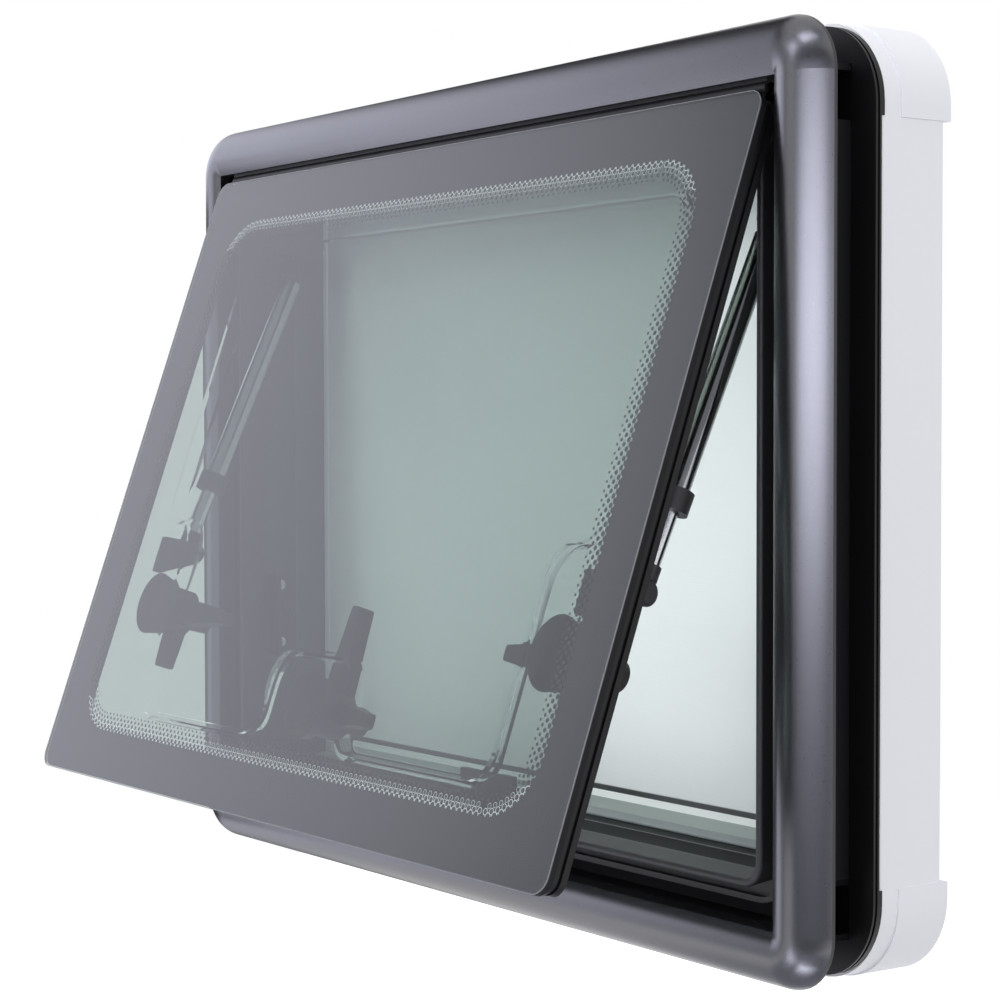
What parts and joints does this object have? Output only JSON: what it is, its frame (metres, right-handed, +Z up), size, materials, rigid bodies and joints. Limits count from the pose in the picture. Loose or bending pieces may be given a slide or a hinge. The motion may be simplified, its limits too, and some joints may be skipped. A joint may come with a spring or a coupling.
{
  "type": "caravan window",
  "caption": "Top-hung opening window for a caravan wall, with a double pane, turning latches, telescopic stays, and a roller blind in a white cassette on the inside.",
  "frame": {"origin": "middle of the window on the outer skin of the wall, in the plane of the gasket's back", "axes": "+X along the wall, +Y into the vehicle, +Z up"},
  "size_m": [0.64, 0.2351, 0.494],
  "materials": {
    "frame_grey": "satin grey coated aluminium",
    "seal_black": "matt black rubber",
    "liner_black": "matt black liner",
    "clamp_black": "matt black",
    "cassette_white": "smooth white",
    "blind": "smooth light cloth",
    "blind_bar": "pale grey-white",
    "tinted_glass": "clear tinted sheet with a printed dark border",
    "clear_pane": "clear moulded sheet",
    "rail_black": "black",
    "latch_black": "fine-grained black",
    "bracket_black": "black",
    "stay_metal": "bright drawn metal"
  },
  "bodies": {
    "window": {"outer_frame": "frame_grey", "wall_gasket": "seal_black", "liner_head": "liner_black", "liner_sill": "liner_black", "liner_jamb_left": "liner_black", "liner_jamb_right": "liner_black", "blind_reveal": "liner_black", "lip_seal": "seal_black", "clamp_ring": "clamp_black", "cassette_head": "cassette_white", "cassette_sill": "cassette_white", "cassette_left": "cassette_white", "cassette_right": "cassette_white", "cassette_corners": "cassette_white", "blind_cloth": "blind", "blind_bar": "blind_bar", "hinge_channel": "rail_black", "strikers": "bracket_black", "jamb_brackets": "bracket_black", "outer_pane": "tinted_glass", "sash_rail": "rail_black", "inner_pane": "clear_pane", "hinge_bead": "rail_black", "latch_bases": "latch_black", "sash_brackets": "bracket_black", "stay_eye_left": "bracket_black", "stay_tube_left": "stay_metal", "stay_collar_left": "bracket_black", "stay_eye_right": "bracket_black", "stay_tube_right": "stay_metal", "stay_collar_right": "bracket_black", "stay_rod_left": "stay_metal", "rod_eye_left": "bracket_black", "stay_rod_right": "stay_metal", "rod_eye_right": "bracket_black"},
    "latch_left": {"latch_lever_left": "latch_black"},
    "latch_right": {"latch_lever_right": "latch_black"},
    "latch_bottom": {"latch_lever_bottom": "latch_black"}
  },
  "joints": [
    {"name": "latch_left_turn", "type": "hinge", "parent": "window", "child": "latch_left", "pos_m": [-0.222, -0.09877, -0.07501], "axis": [0, -0.9436, 0.3312], "range_deg": [-90, 0]},
    {"name": "latch_right_turn", "type": "hinge", "parent": "window", "child": "latch_right", "pos_m": [0.222, -0.09877, -0.07501], "axis": [0, 0.9436, -0.3312], "range_deg": [-90, 0]},
    {"name": "latch_bottom_turn", "type": "hinge", "parent": "window", "child": "latch_bottom", "pos_m": [0, -0.11466, -0.1203], "axis": [0, -0.9436, 0.3312], "range_deg": [-90, 0]}
  ]
}
